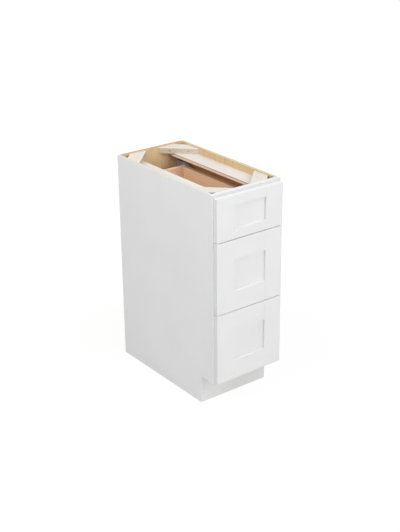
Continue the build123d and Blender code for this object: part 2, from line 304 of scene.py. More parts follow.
class GeometryTree(NodeSheet):
    """A Geometry Nodes tree with named inputs, which runs once on a base mesh."""

    def __init__(self, name: str, values: Mapping[str, float]) -> None:
        """Start a tree.

        Args:
            name: The tree's name.
            values: The value of each named input: a length, or a whole number.
        """
        super().__init__(bpy.data.node_groups.new(name, "GeometryNodeTree"))
        self.values = values
        socket = self.tree.interface.new_socket
        kinds = {label: "Int" if isinstance(value, int) else "Float" for label, value in values.items()}
        for label, kind in {"Geometry": "Geometry", **kinds, "Finish": "Material"}.items():
            socket(label, in_out="INPUT", socket_type="NodeSocket" + kind)
        socket("Geometry", in_out="OUTPUT", socket_type="NodeSocketGeometry")
        self.start = self.node("NodeGroupInput")

    def __getitem__(self, label: str) -> Term:
        """One of the tree's named inputs."""
        return self.start.at(label)

    def swept(self, path: Term, profile: Term) -> Term:
        """Sweep a closed profile along a path, with its ends capped."""
        inputs = {"Curve": path, "Profile Curve": profile, "Fill Caps": True}
        return self.node("GeometryNodeCurveToMesh", inputs)

    def cut(self, body: Term, cutters: list[Term]) -> Term:
        """Take the cutters away from a body."""
        inputs = {"Mesh 1": body, "Mesh 2": cutters}
        return self.node("GeometryNodeMeshBoolean", inputs, "Mesh", operation="DIFFERENCE", solver="EXACT")

    def shifted(self, geometry: Term, z: Number, turn: Euler = UNTURNED) -> Term:
        """Move a geometry along Z, and turn it."""
        move = {"Geometry": geometry, "Translation": self.joined(0.0, 0.0, z), "Rotation": turn}
        return self.node("GeometryNodeTransform", move)

    def domed_disc(self, radius: Term, height: Term, fall: float, sides: int) -> Term:
        """Make a disc that stands on Z = 0 and rises to a crown at -height.

        Args:
            radius: The disc's radius.
            height: The crown's height.
            fall: The share of the height that the rim loses.
            sides: The number of sides.

        Returns:
            The disc.
        """
        sizes = {"Vertices": sides, "Side Segments": 2, "Fill Segments": 4, "Radius": radius, "Depth": 1.0}
        disc = self.node("GeometryNodeMeshCylinder", sizes, "Mesh", fill_type="TRIANGLE_FAN")
        x, y, z = self.parts(self.node("GeometryNodeInputPosition"))
        share = (x * x + y * y) / (radius * radius)
        domed = self.joined(x, y, (z - 0.5) * ((1 - share * share * fall) * height))
        return self.node("GeometryNodeSetPosition", {"Geometry": disc, "Position": domed})

    def plant(self, body: Term) -> None:
        """Stand copies of a body on the base points, each turned at random, and end the tree.

        Args:
            body: What is repeated; it points along Z, which follows each point's axis.
        """
        axis = self.node("GeometryNodeInputNamedAttribute", {"Name": "axis"}, data_type="FLOAT_VECTOR")
        aligned = self.node("FunctionNodeAlignRotationToVector", {"Vector": axis}, axis="Z")
        copies = {"Points": self["Geometry"], "Instance": body, "Rotation": aligned}
        stood = self.node("GeometryNodeInstanceOnPoints", copies)
        draw = {"Min": 0.0, "Max": math.tau, "Seed": self["Seed"]}
        turn = self.joined(0.0, 0.0, self.node("FunctionNodeRandomValue", draw, 1, data_type="FLOAT"))
        turned = {"Instances": stood, "Rotation": turn, "Local Space": True}
        self.close(self.node("GeometryNodeRotateInstances", turned))

    def close(self, geometry: Term) -> None:
        """Realize what was made, give it its material, and end the tree.

        Args:
            geometry: What was made.
        """
        real = self.node("GeometryNodeRealizeInstances", {"Geometry": geometry})
        dressed = self.node("GeometryNodeSetMaterial", {"Geometry": real, "Material": self["Finish"]})
        self.node("NodeGroupOutput", {"Geometry": dressed})

    def run(self, mesh: Mesh, finish: Finish) -> Mesh:
        """Run the tree on a mesh.

        Args:
            mesh: The base mesh.
            finish: The result's material.

        Returns:
            The result as a plain mesh.
        """
        values = {label: size if isinstance(size, int) else size * MM for label, size in self.values.items()}
        values["Finish"] = finish
        sockets = [item for item in self.tree.interface.items_tree if item.name in values]
        inputs = {item.identifier: values[item.name] for item in sockets}
        return refined(mesh, "NODES", inputs, node_group=self.tree)


def refined(mesh: Mesh, kind: str, inputs: Mapping[str, object] | None = None, **settings: object) -> Mesh:
    """Put a mesh through one modifier.

    Args:
        mesh: The mesh.
        kind: The modifier's type.
        inputs: The values of a node tree's inputs, by identifier.
        settings: Properties of the modifier.

    Returns:
        The result as a plain mesh.
    """
    base = bpy.data.objects.new(kind, mesh)
    modifier = base.modifiers.new(kind, kind)
    for key, value in settings.items():
        setattr(modifier, key, value)
    for identifier, value in (inputs or {}).items():
        modifier[identifier] = value
    bpy.context.scene.collection.objects.link(base)
    graph = bpy.context.evaluated_depsgraph_get()
    whole = base.evaluated_get(graph)
    made = bpy.data.meshes.new_from_object(whole, preserve_all_data_layers=True, depsgraph=graph)
    base.modifiers.clear()
    bpy.data.objects.remove(base)
    return made


# Finishes


@dataclass(frozen=True)
class Lacquer:
    """Sprayed white lacquer: satin, with a faint orange peel."""

    colour: Colour = srgb(232, 232, 232)
    shade: Colour = srgb(229.5, 229.5, 229.5)
    # A painted shade: the frame's front above the top drawer takes this darker colour. The ledge lacquer sets
    # it to the plain white, which ends its painted light at that height.
    reveal: Colour = srgb(218, 219, 220)
    roughness: float = 0.4
    peel_size: float = 2.6
    peel_depth: float = 0.006
    dust_share: float = 0.12

    def material(self, name: str, reveal_from: float | None = None) -> Finish:
        """Make the material.

        Args:
            name: Its name.
            reveal_from: The height above which the coat has the reveal's colour.

        Returns:
            The material.
        """
        sheet = Shading(name)
        point = sheet.place()
        clouds = sheet.noise(point, 0.006, 3.0)
        peel = sheet.noise(point, 1 / self.peel_size, 1.0)
        dust = sheet.noise(point, 1.7, 0.0)
        colour = sheet.blend(clouds.step(0.3, 0.7), self.colour, self.shade)
        # Above the given height the colour turns to the reveal colour: painted shade on the frame's front
        # strip, and the end of the painted light on the ledges.
        if reveal_from is not None:
            _, _, height = sheet.parts(point)
            colour = sheet.blend(height > reveal_from, colour, self.reveal)
        rough = self.roughness + clouds.swing(0.1) + peel.swing(0.05)
        relief = peel + dust * self.dust_share
        return sheet.close({"Base Color": colour, "Roughness": rough}, {"IOR": 1.48}, relief, self.peel_depth)


@dataclass(frozen=True)
class Wood:
    """Wood with growth rings round a pith line and fibres along it."""

    light: Colour
    dark: Colour
    ring_pitch: float = 4.2
    ring_depth: float = 0.34
    fibre_depth: float = 0.45
    streak_depth: float = 0.55
    pore_depth: float = 0.16
    ground: float = 0.28
    waviness: float = 12.0
    figure_size: float = 180.0
    roughness: float = 0.46
    coat: float = 0.12
    relief: float = 0.03
    # A painted tint for bounce light and shade low in the cabinet: below the span's heights, in millimetres,
    # the colour is multiplied by this.
    painted_depth_tint: Colour = (1.0, 1.0, 1.0)
    painted_tint_span: Pair = (870.0, 790.0)

    RING_PEAK = 9.5

    def material(self, name: str, grain: Grain, node: str, pith: Pair = (14.0, -70.0)) -> Finish:
        """Make the material for one board.

        Args:
            name: Its name.
            grain: The way the fibres run.
            node: The board's node.
            pith: Where the pith passes, across the fibres, from the board's middle.

        Returns:
            The material.
        """
        sheet = Shading(name)
        point = sheet.place(Euler(grain.value), box_of(node).middle)
        _, across, deep = sheet.parts(point)
        slow = 1 / self.figure_size
        wander = sheet.noise(point, (slow, slow * 3, slow * 3))
        radius = ((across - pith[0]) ** 2 + (deep - pith[1]) ** 2).root() + wander.swing(self.waviness)
        phase = (radius / self.ring_pitch).fract()
        line = phase**3 * (1 - phase) * self.RING_PEAK
        strength = sheet.noise(point, (slow * 1.4, 0.05, 0.05), 1.0).step(0.3, 0.75)
        fibre = sheet.noise(point, (0.035, 1.5, 1.5), 3.0, 0.6)
        streak = sheet.noise(point, (0.004, 0.11, 0.11), 1.0)
        pore = sheet.noise(point, (0.22, 3.2, 3.2), 0.0).step(0.66, 0.8)
        rings = line * strength * self.ring_depth
        tone = rings + fibre.swing(self.fibre_depth) + streak.swing(self.streak_depth) + self.ground
        colour = sheet.blend(tone + pore * self.pore_depth, self.light, self.dark)
        # Painted bounce light and shade: the colour is multiplied by the tint towards the bottom.
        if self.painted_depth_tint != Wood.painted_depth_tint:
            _, _, height = sheet.parts(sheet.place())
            depth_tinted = sheet.blend(1.0, colour, self.painted_depth_tint, "MULTIPLY")
            colour = sheet.blend(height.step(*self.painted_tint_span), colour, depth_tinted)
        return sheet.close(
            {"Base Color": colour, "Roughness": self.roughness + fibre.swing(0.2)},
            {"Coat Weight": self.coat, "Coat Roughness": 0.3, "IOR": 1.5},
            fibre * 0.7 - pore * 0.4,
            self.relief,
        )


@dataclass(frozen=True)
class PlyEdge:
    """The cut edge of plywood: plies with and across the cut, and glue lines."""

    with_cut: Colour = srgb(214, 206, 194)
    across_cut: Colour = srgb(195, 180, 158)
    glue: Colour = srgb(148, 128, 106)
    ply: float = 2.1
    glue_share: float = 0.1
    # From this far through the plies the edge is darker, blended by the share below towards the glue colour.
    darker_from: float | None = None
    darker_share: float = 0.5
    roughness: float = 0.68
    relief: float = 0.05

    def material(self, name: str, node: str, thickness: Vector) -> Finish:
        """Make the material for boards whose plies lie the same way.

        Args:
            name: Its name.
            node: A board's node; the first ply begins at its lowest side.
            thickness: The direction through the plies.

        Returns:
            The material.
        """
        sheet = Shading(name)
        point = sheet.place()
        start = box_of(node).low.dot(thickness)
        through = sheet.vector("DOT_PRODUCT", point, thickness).at("Value")
        waver = sheet.noise(point, 0.02, 1.0)
        layer = (through - start + waver.swing(0.5)) / self.ply
        turned = (layer.floor() * 0.5).fract() > 0.25
        seam = abs(layer.fract() - 0.5) > 0.5 - self.glue_share / 2
        along = sheet.noise(point, 0.1, 3.0)
        pores = sheet.noise(point, 1.6)
        body = sheet.blend(turned, self.with_cut, self.across_cut)
        body = sheet.blend(turned * pores.step(0.45, 0.75) * 0.5, body, self.glue)
        body = sheet.blend(along.step(0.35, 0.8) * 0.25, body, self.across_cut)
        colour = sheet.blend(seam * 0.8, body, self.glue)
        # The plies from the given depth onwards are darker.
        if self.darker_from is not None:
            colour = sheet.blend((through > start + self.darker_from) * self.darker_share, colour, self.glue)
        varying = {"Base Color": colour, "Roughness": self.roughness + pores.swing(0.2)}
        return sheet.close(varying, {"IOR": 1.45}, pores * turned, self.relief)


@dataclass(frozen=True)
class ZincPlate:
    """Rolled and zinc-plated steel with draw marks along the member."""

    colour: Colour = srgb(198, 202, 206)
    dull: Colour = srgb(183, 187, 192)
    roughness: float = 0.34
    relief: float = 0.008

    def material(self, name: str) -> Finish:
        """Make the material.

        Args:
            name: Its name.

        Returns:
            The material.
        """
        sheet = Shading(name)
        point = sheet.place()
        marks = sheet.noise(point, (2.4, 0.012, 2.4))
        cloud = sheet.noise(point, (0.03, 0.02, 0.03), 3.0)
        spangle = sheet.noise(point, (0.5, 0.4, 0.5), 1.0)
        colour = sheet.blend((cloud * 0.7 + spangle * 0.3).step(0.35, 0.7), self.colour, self.dull)
        rough = self.roughness + marks.swing(0.16) + cloud.swing(0.14)
        return sheet.close({"Base Color": colour, "Roughness": rough}, {"Metallic": 1.0}, marks, self.relief)


@dataclass(frozen=True)
class Moulding:
    """A moulded plastic with a fine spark-eroded grain."""

    colour: Colour
    shade: Colour
    roughness: float
    grain_size: float
    grain_depth: float

    def material(self, name: str) -> Finish:
        """Make the material.

        Args:
            name: Its name.

        Returns:
            The material.
        """
        sheet = Shading(name)
        point = sheet.place()
        grain = sheet.noise(point, 1 / self.grain_size, 1.0)
        flow = sheet.noise(point, (0.03, 0.05, 0.02))
        colour = sheet.blend(flow.step(0.3, 0.75), self.colour, self.shade)
        rough = self.roughness + grain.swing(0.12)
        return sheet.close({"Base Color": colour, "Roughness": rough}, {"IOR": 1.5}, grain, self.grain_depth)


# Both veneers carry painted bounce light and shade low down: the back turns warmer and lighter below 830 mm,
# the sides and floor redder and darker below 870 mm.
BACK_VENEER = Wood(
    light=srgb(231, 204, 161),
    dark=srgb(207, 172, 126),
    ring_pitch=11.0,
    ring_depth=0.3,
    streak_depth=0.35,
    waviness=60.0,
    figure_size=320.0,
    roughness=0.42,
    coat=0.2,
    painted_depth_tint=(1.16, 1.02, 0.9),
    painted_tint_span=(830.0, 750.0),
)
SIDE_VENEER = replace(
    BACK_VENEER,
    light=srgb(225, 199, 151),
    dark=srgb(200, 165, 117),
    fibre_depth=0.3,
    painted_depth_tint=(1.04, 0.72, 0.64),
    painted_tint_span=Wood.painted_tint_span,
)
PALE_VENEER = Wood(
    light=srgb(236, 232, 225),
    dark=srgb(214, 203, 187),
    ring_pitch=9.0,
    ring_depth=0.22,
    waviness=50.0,
    figure_size=260.0,
    fibre_depth=0.3,
    roughness=0.6,
    coat=0.0,
)
# Lit and shaded copies of the pale veneer: the front blocks are darker, as painted shade, and the back blocks
# lighter, as painted light, to stand in for how light falls on them.
FRONT_BLOCK_VENEER = replace(PALE_VENEER, light=srgb(231, 226, 218), dark=srgb(210, 197, 181))
BACK_BLOCK_VENEER = replace(PALE_VENEER, light=srgb(242, 238, 231), dark=srgb(220, 208, 192))
BOARD_VENEER = replace(PALE_VENEER, light=srgb(238, 235, 231), dark=srgb(218, 208, 195))
DRAWER_MAPLE = Wood(light=srgb(238, 207, 178), dark=srgb(200, 162, 130))
MAPLE_RIM = Wood(light=srgb(244, 229, 208), dark=srgb(222, 198, 170))
# A darker copy of the rim maple, as painted shade: the right box side's top edge lies in the side board's
# shadow.
SHADED_RIM = Wood(light=srgb(212, 174, 141), dark=srgb(178, 136, 103))
DRAWER_FLOOR = Wood(
    light=srgb(238, 208, 180),
    dark=srgb(204, 167, 134),
    ring_pitch=10.0,
    waviness=55.0,
    figure_size=240.0,
)
MAPLE_ENDS = Wood(
    light=srgb(198, 158, 122),
    dark=srgb(150, 108, 76),
    ring_pitch=2.6,
    ring_depth=0.6,
    roughness=0.6,
    coat=0.0,
)
LEFT_EDGE = PlyEdge(srgb(229, 225, 216), srgb(223, 216, 201), srgb(208, 194, 172))
RIGHT_EDGE = PlyEdge(srgb(221, 208, 188), srgb(213, 197, 172), srgb(192, 170, 138))
BACK_EDGE = PlyEdge(srgb(207, 186, 158), srgb(189, 163, 132), srgb(154, 124, 94))
BOARD_EDGE = PlyEdge(srgb(250, 239, 222), srgb(243, 226, 204), srgb(166, 144, 122), darker_from=8.4)
BLOCK_EDGE = PlyEdge()
# A darker ply edge as painted shade, for the clipped corners of the blocks that sit deep under the rim.
SHADED_CLIP_EDGE = PlyEdge(srgb(150, 143, 130), srgb(132, 123, 108), srgb(104, 92, 76))
# Painted shade and painted light on the drawer fronts: a darker lacquer for the stiles' outer side faces, and
# a lighter one for the faces turned up or down, which stops above the frame's reveal height.
SIDE_SHADE_LACQUER = Lacquer(srgb(224, 224, 224), srgb(222, 222, 222))
LEDGE_LIGHT_LACQUER = Lacquer(srgb(244, 244, 244), srgb(242, 242, 242), reveal=Lacquer.colour)
SCREW_ZINC = ZincPlate(srgb(186, 180, 164), srgb(156, 150, 134), roughness=0.36)
GREY_POLYMER = Moulding(srgb(168, 158, 163), srgb(150, 140, 146), 0.52, 0.5, 0.02)
CLEAR_POLYMER = Moulding(srgb(214, 216, 214), srgb(200, 203, 201), 0.22, 1.4, 0.004)


# Pieces from the frame's nodes


@dataclass(frozen=True)
class Ease:
    """How far sharp edges are rounded, and how far beside the web of a folded sheet."""

    radius: float = 0.5
    shortest: float = 6.0
    web: float = math.inf
    fold: float = 0.9
    segments: int = 3

    def at(self, first: Vector, second: Vector) -> float:
        """The radius of the edge between two points in metres, or 0 for one that stays sharp."""
        radius = self.fold if abs(abs(first.x + second.x) / 2 / MM - self.web) < 0.1 else self.radius
        return radius if (first - second).length >= self.shortest * MM else 0.0


# The cosine from which a face counts as turned one way.
FACING = 0.9


def single(_normal: Vector) -> int:
    """A face rule for a piece with one finish."""
    return 0


def faced(direction: Vector, number: int = 1, rest: FaceRule = single) -> FaceRule:
    """A face rule that tells the faces turned one way from the rest, which have their own rule."""
    looked = direction.normalized()
    return lambda normal: number if normal.dot(looked) > FACING else rest(normal)


def layered(through: Vector, broad: int = 0, edge: int = 1) -> FaceRule:
    """A face rule that tells the two faces across a direction from the rest."""
    return lambda normal: broad if abs(normal.dot(through)) > FACING else edge


class Workpiece:
    """A node's shape with its loose triangles merged into whole faces."""

    MERGED = 0.002 * MM
    FLAT = math.radians(0.4)
    CREASE = math.radians(30)

    def __init__(self, node: str) -> None:
        """Merge the node's mesh.

        Args:
            node: The node's name.
        """
        self.node = node
        self.mesh = bmesh.new()
        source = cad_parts[node].data
        corners: dict[tuple[int, int, int], bmesh.types.BMVert] = {}
        keys = []
        for vertex in source.vertices:
            key = tuple(round(value / self.MERGED) for value in vertex.co)
            if key not in corners:
                corners[key] = self.mesh.verts.new(vertex.co)
            keys.append(key)
        for polygon in source.polygons:
            loop = [corners[keys[index]] for index in polygon.vertices]
            if len(set(loop)) > 2 and self.mesh.faces.get(loop) is None:
                self.mesh.faces.new(loop)
        parts = {"verts": self.mesh.verts[:], "edges": self.mesh.edges[:]}
        bmesh.ops.dissolve_limit(self.mesh, angle_limit=self.FLAT, **parts)

    def islands(self) -> list[Box]:
        """Find the separate solids, before the mesh is finished.

        Returns:
            The box of each.
        """
        boxes = []
        left = set(self.mesh.verts)
        while left:
            reached, front = set(), {left.pop()}
            while front:
                reached |= front
                front = {edge.other_vert(vertex) for vertex in front for edge in vertex.link_edges} - reached
            left -= reached
            ends = [[pick(vertex.co[axis] for vertex in reached) for axis in range(3)] for pick in (min, max)]
            boxes.append(Box(*(Vector(end) / MM for end in ends)))
        return sorted(boxes, key=lambda box: tuple(box.low))

    def finished(self, rule: FaceRule, ease: Ease) -> Mesh:
        """Number the faces, round the edges and return the mesh.

        Args:
            rule: Gives each face its finish number.
            ease: How the edges are rounded.

        Returns:
            The mesh.
        """
        self.mesh.normal_update()
        for face in self.mesh.faces:
            face.material_index = rule(face.normal)
            face.smooth = True
        weights = self.mesh.edges.layers.float.new("bevel_weight_edge")
        radii = {}
        for edge in self.mesh.edges:
            if edge.is_manifold and edge.is_convex and edge.calc_face_angle() >= self.CREASE:
                radii[edge] = ease.at(edge.verts[0].co, edge.verts[1].co)
        widest = max(radii.values(), default=0.0)
        for edge, radius in radii.items():
            edge[weights] = radius / widest if widest else 0.0
        mesh = bpy.data.meshes.new(self.node)
        self.mesh.to_mesh(mesh)
        self.mesh.free()
        bevel = {"limit_method": "WEIGHT", "segments": ease.segments, "offset_type": "OFFSET"}
        return refined(mesh, "BEVEL", width=widest * MM, **bevel) if widest else mesh


def weighted(mesh: Mesh, angle: float = 40.0) -> Mesh:
    """Shade a mesh smooth up to an angle, with broad faces kept flat.

    Args:
        mesh: The mesh.
        angle: The angle, in degrees, above which an edge is sharp.

    Returns:
        The shaded mesh.
    """
    mesh.shade_smooth()
    mesh.set_sharp_from_angle(angle=math.radians(angle))
    return refined(mesh, "WEIGHTED_NORMAL", keep_sharp=True)


def placed(name: str, data: bpy.types.ID) -> bpy.types.Object:
    """Put a new object into the scene.

    Args:
        name: Its name.
        data: Its mesh, lamp or camera.

    Returns:
        The object.
    """
    made = bpy.data.objects.new(name, data)
    bpy.context.scene.collection.objects.link(made)
    return made


@dataclass
class SubAssembly:
    """A group of pieces on one body."""

    body: str

    def mount(self, name: str, mesh: Mesh, slot: Slot, finishes: Finishes, stands_for: Names = ()) -> None:
        """Put a finished mesh on the body.

        Args:
            name: The piece's name.
            mesh: The final mesh, in place.
            slot: The record's slot for the piece; not used.
            finishes: Its materials, by finish number.
            stands_for: The nodes it replaces.
        """
        while len(mesh.materials) < len(finishes):
            mesh.materials.append(None)
        for number, finish in enumerate(finishes):
            mesh.materials[number] = finish
        mesh.name = name
        piece = placed(name, mesh)
        if stands_for:
            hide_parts(*stands_for)
        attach(piece, self.body)
        LOG.info("%s on %s: %d faces", name, self.body, len(mesh.polygons))

    def dress(
        self, node: str, slot: Slot, finishes: Finishes, rule: FaceRule = single, ease: Ease = Ease()
    ) -> None:
        """Turn a node into its finished piece: its rule gives each face one of the finishes."""
        mesh = weighted(Workpiece(node).finished(rule, ease))
        self.mount(node + "_finished", mesh, slot, finishes, [node])


# Fasteners


def seat_points(seats: Sequence[Seat]) -> Mesh:
    """Make the base that repeated pieces stand on.

    Args:
        seats: The place of each piece, in millimetres, and the way it points.

    Returns:
        A mesh of points with an "axis" attribute.
    """
    points = bpy.data.meshes.new("seats")
    points.from_pydata([Vector(place) * MM for place, _ in seats], [], [])
    axis = points.attributes.new("axis", "FLOAT_VECTOR", "POINT")
    for number, (_, direction) in enumerate(seats):
        axis.data[number].vector = Vector(direction).normalized()
    return points


@dataclass
class ScrewSet:
    """Identical cross-recess screws with a rolled thread."""

    name: str
    head_radius: float
    head_height: float
    shank_radius: float
    length: float
    thread_pitch: float = 1.8
    seed: int = 7

    HEAD_FALL, HEAD_SIDES, HEAD_ANGLE = 0.62, 24, 35.0
    RECESS_LENGTH, RECESS_WIDTH, RECESS_HEIGHT, RECESS_PLACE = 1.15, 0.24, 1.1, -0.9
    CORE, TIP, POINT, SHANK_SIDES = 0.74, 0.06, 2.2, 14
    THREAD_ROOT, THREAD_RIDGE, THREAD_START, THREAD_STEPS = 0.72, 0.27, 0.3, 12

    def _head(self, tree: GeometryTree) -> Term:
        """Make a domed head with a cross recess.

        Args:
            tree: The tree.

        Returns:
            The head.
        """
        radius, height = tree["Head Radius"], tree["Head Height"]
        dome = tree.domed_disc(radius, height, self.HEAD_FALL, self.HEAD_SIDES)
        wings = []
        for turn in (0.0, math.pi / 2):
            sides = (radius * self.RECESS_LENGTH, radius * self.RECESS_WIDTH, height * self.RECESS_HEIGHT)
            wing = tree.node("GeometryNodeMeshCube", {"Size": tree.joined(*sides)}, "Mesh")
            wings.append(tree.shifted(wing, height * self.RECESS_PLACE, Euler((0, 0, turn))))
        return tree.cut(dome, wings)

    def _shank(self, tree: GeometryTree) -> list[Term]:
        """Make the shank, its point and its thread.

        Args:
            tree: The tree.

        Returns:
            The three.
        """
        radius, length = tree["Shank Radius"], tree["Length"]
        point = radius * self.POINT
        plain = length - point
        core_sizes = {"Vertices": self.SHANK_SIDES, "Radius": radius * self.CORE, "Depth": plain}
        core = tree.node("GeometryNodeMeshCylinder", core_sizes, "Mesh", fill_type="NGON")
        tip_sizes = {
            "Vertices": self.SHANK_SIDES,
            "Radius Top": radius * self.TIP,
            "Radius Bottom": radius * self.CORE,
            "Depth": point,
        }
        tip = tree.node("GeometryNodeMeshCone", tip_sizes, "Mesh", fill_type="NGON")
        helix = {
            "Resolution": self.THREAD_STEPS,
            "Rotations": plain / tree["Thread Pitch"],
            "Start Radius": radius * self.THREAD_ROOT,
            "End Radius": radius * self.THREAD_ROOT,
            "Height": length - point * 1.1,
        }
        ridge = {"Resolution": 3, "Radius": radius * self.THREAD_RIDGE}
        thread = tree.swept(
            tree.node("GeometryNodeCurveSpiral", helix), tree.node("GeometryNodeCurvePrimitiveCircle", ridge)
        )
        return [
            tree.shifted(core, plain / 2),
            tree.shifted(tip, plain),
            tree.shifted(thread, radius * self.THREAD_START),
        ]

    def drive(self, seats: Sequence[Seat], group: SubAssembly, steel: Finish) -> None:
        """Make the screws and mount them, in place of the node with their name if there is one.

        Args:
            seats: The seats of the heads, and the way each screw is driven.
            group: The sub-assembly that they belong to.
            steel: Their finish.
        """
        values = {
            "Head Radius": self.head_radius,
            "Head Height": self.head_height,
            "Shank Radius": self.shank_radius,
            "Length": self.length,
            "Thread Pitch": self.thread_pitch,
            "Seed": self.seed,
        }
        tree = GeometryTree(self.name, values)
        body = [self._head(tree), *self._shank(tree)]
        tree.plant(tree.node("GeometryNodeJoinGeometry", {"Geometry": body}))
        mesh = weighted(tree.run(seat_points(seats), steel), self.HEAD_ANGLE)
        stands_for = [self.name] if self.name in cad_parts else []
        group.mount(self.name + "_driven", mesh, Slot.SCREW, [steel], stands_for)


# Studio


@dataclass(frozen=True)
class Softbox:
    """A square area lamp."""

    name: str
    place: tuple[float, float, float]
    aim: tuple[float, float, float]
    size: float
    level: float

    def build(self) -> None:
        """Hang the lamp; a level of 1 lights a white card at the aim as white."""
        lamp = bpy.data.lights.new(self.name, "AREA")
        lamp.shape = "SQUARE"
        lamp.size = self.size
        away = Vector(self.place) - Vector(self.aim)
        lamp.energy = self.level * math.pi**2 * away.length_squared
        hung = placed(self.name, lamp)
        hung.location = self.place
        hung.rotation_mode = "QUATERNION"
        hung.rotation_quaternion = away.to_track_quat("Z", "Y")


@dataclass
class Studio:
    """The camera, the pale floor, the lamps and the white surroundings.

    Lengths in the studio are metres, apart from the floor's drop and its shadow's reach.
    """

    camera_place: tuple[float, float, float] = (-2.3627, -3.134275, 2.1748)
    camera_azimuth: float = -37.07
    camera_elevation: float = 23.57
    camera_roll: float = -0.64
    lens: float = 73.07
    sensor: float = 36.0
    ambient: float = 0.4
    floor_half: float = 14.0
    floor_drop: float = 0.05
    floor_glow: float = 1.04
    shadow_share: float = 0.12
    shadow_reach: Pair = (1300.0, 500.0)
    lamps: tuple[Softbox, ...] = (
        Softbox("near_left", (-2.0, -0.6, 2.4), (0.0, 0.0, 0.8), 1.2, 0.271),
        Softbox("rear_left", (-2.1, 0.4, 2.3), (0.0, 0.0, 0.7), 1.0, 0.142),
        Softbox("overhead", (0.0, -0.3, 2.3), (0.0, 0.0, 0.8), 1.5, 0.241),
        Softbox("high_right", (2.4, -0.4, 3.2), (0.0, 0.0, 0.7), 2.2, 0.094),
        Softbox("front", (-0.3, -4.2, 2.0), (0.0, 0.0, 0.5), 2.0, 0.233),
        Softbox("high_front", (0.5, -2.6, 2.6), (0.0, 0.0, 0.6), 1.4, 0.183),
    )

    def build(self) -> None:
        """Set the studio up."""
        bpy.context.scene.view_settings.view_transform = "Standard"
        self._camera()
        self._floor()
        self._surroundings()
        for lamp in self.lamps:
            lamp.build()

    def _camera(self) -> None:
        """Place the camera."""
        angles = (self.camera_azimuth, self.camera_elevation, self.camera_roll)
        turn, rise, roll = (math.radians(angle) for angle in angles)
        aimed = Euler((math.pi / 2 - rise, 0, turn)).to_matrix().to_4x4() @ Matrix.Rotation(roll, 4, "Z")
        camera = placed("camera", bpy.data.cameras.new("camera"))
        camera.data.lens = self.lens
        camera.data.sensor_width = self.sensor
        camera.matrix_world = Matrix.Translation(self.camera_place) @ aimed
        bpy.context.scene.camera = camera

    @staticmethod
    def _seen(sheet: NodeSheet) -> Term:
        """Tell the rays that show a surface's own brightness from those that light others.

        Args:
            sheet: The sheet that the nodes go to.

        Returns:
            1 for such a ray, else 0.
        """
        path = sheet.node("ShaderNodeLightPath", output="Is Camera Ray")
        glossy = sheet.math("MAXIMUM", path, path.at("Is Glossy Ray"))
        return sheet.math("MAXIMUM", glossy, path.at("Is Transmission Ray"))

    def _floor(self) -> None:
        """Lay a pale floor that looks white and keeps a faint shadow."""
        sheet = Shading("floor")
        point = sheet.place()
        x, y, _ = sheet.parts(point)
        reach = (x * x + y * y).root().step(*self.shadow_reach)
        card = sheet.blend(sheet.noise(point, 0.01), srgb(240, 240, 240), srgb(236, 236, 236))
        paper = sheet.node("ShaderNodeBsdfDiffuse", {"Color": card})
        glow = sheet.node("ShaderNodeEmission", {"Color": (1.0, 1.0, 1.0), "Strength": self.floor_glow})
        share = self._seen(sheet) * (1 - reach * self.shadow_share)
        mixed = sheet.node("ShaderNodeMixShader", {0: share, 1: paper, 2: glow})
        sheet.node("ShaderNodeOutputMaterial", {"Surface": mixed})
        mesh = bpy.data.meshes.new("floor")
        half, level = self.floor_half, -self.floor_drop * MM
        corners = [(-half, -half, level), (half, -half, level), (half, half, level), (-half, half, level)]
        mesh.from_pydata(corners, [], [(0, 1, 2, 3)])
        mesh.materials.append(sheet.material)
        floor = placed("floor", mesh)

    def _surroundings(self) -> None:
        """Make a world that looks white and lights the object softly."""
        world = bpy.data.worlds.new("surroundings")
        world.use_nodes = True
        bpy.context.scene.world = world
        sheet = NodeSheet(world.node_tree)
        sheet.tree.nodes.clear()
        seen = self._seen(sheet)
        strength = seen + (1 - seen) * self.ambient
        glow = sheet.node("ShaderNodeBackground", {"Color": (1.0, 1.0, 1.0), "Strength": strength})
        sheet.node("ShaderNodeOutputWorld", {"Surface": glow})


# Sub-assemblies


@dataclass
class Carcass(SubAssembly):
    """The sides, the back, the floor and the toe board."""

    lacquer: Finish
    side_ease: float = 0.8
    panel_ease: float = 0.3
    toe_ease: float = 0.4

    def build(self) -> None:
        """Dress the carcass."""
        for side, inward, edge in (("left", 1, LEFT_EDGE), ("right", -1, RIGHT_EDGE)):
            node = f"side_panel_{side}"
            veneer = SIDE_VENEER.material(f"veneer_{side}", Grain.UPRIGHT, node, (90.0 * inward, -160.0))
            rim = edge.material(f"rim_{side}", node, X)
            rule = faced(Z, 2, faced(X * inward))
            self.dress(node, Slot.PAINT, [self.lacquer, veneer, rim], rule, Ease(self.side_ease))
        node = "back_panel"
        plies = BACK_EDGE.material("back_edge", node, Y)
        veneer = BACK_VENEER.material("veneer_back", Grain.UPRIGHT, node, (-200.0, 40.0))
        self.dress(node, Slot.PLYWOOD, [veneer, plies], layered(Y), Ease(self.panel_ease))
        node = "bottom_panel"
        plies = BACK_EDGE.material("floor_edge", node, Z)
        veneer = SIDE_VENEER.material("veneer_floor", Grain.DEEP, node, (60.0, -190.0))
        bare = PALE_VENEER.material("floor_underside", Grain.DEEP, node)
        rule = faced(-Z, 2, layered(Z))
        self.dress(node, Slot.PLYWOOD, [veneer, plies, bare], rule, Ease(self.panel_ease))
        node = "toe_board"
        bare = PALE_VENEER.material("toe_back", Grain.ACROSS, node)
        self.dress(node, Slot.PAINT, [self.lacquer, bare], faced(Y), Ease(self.toe_ease))


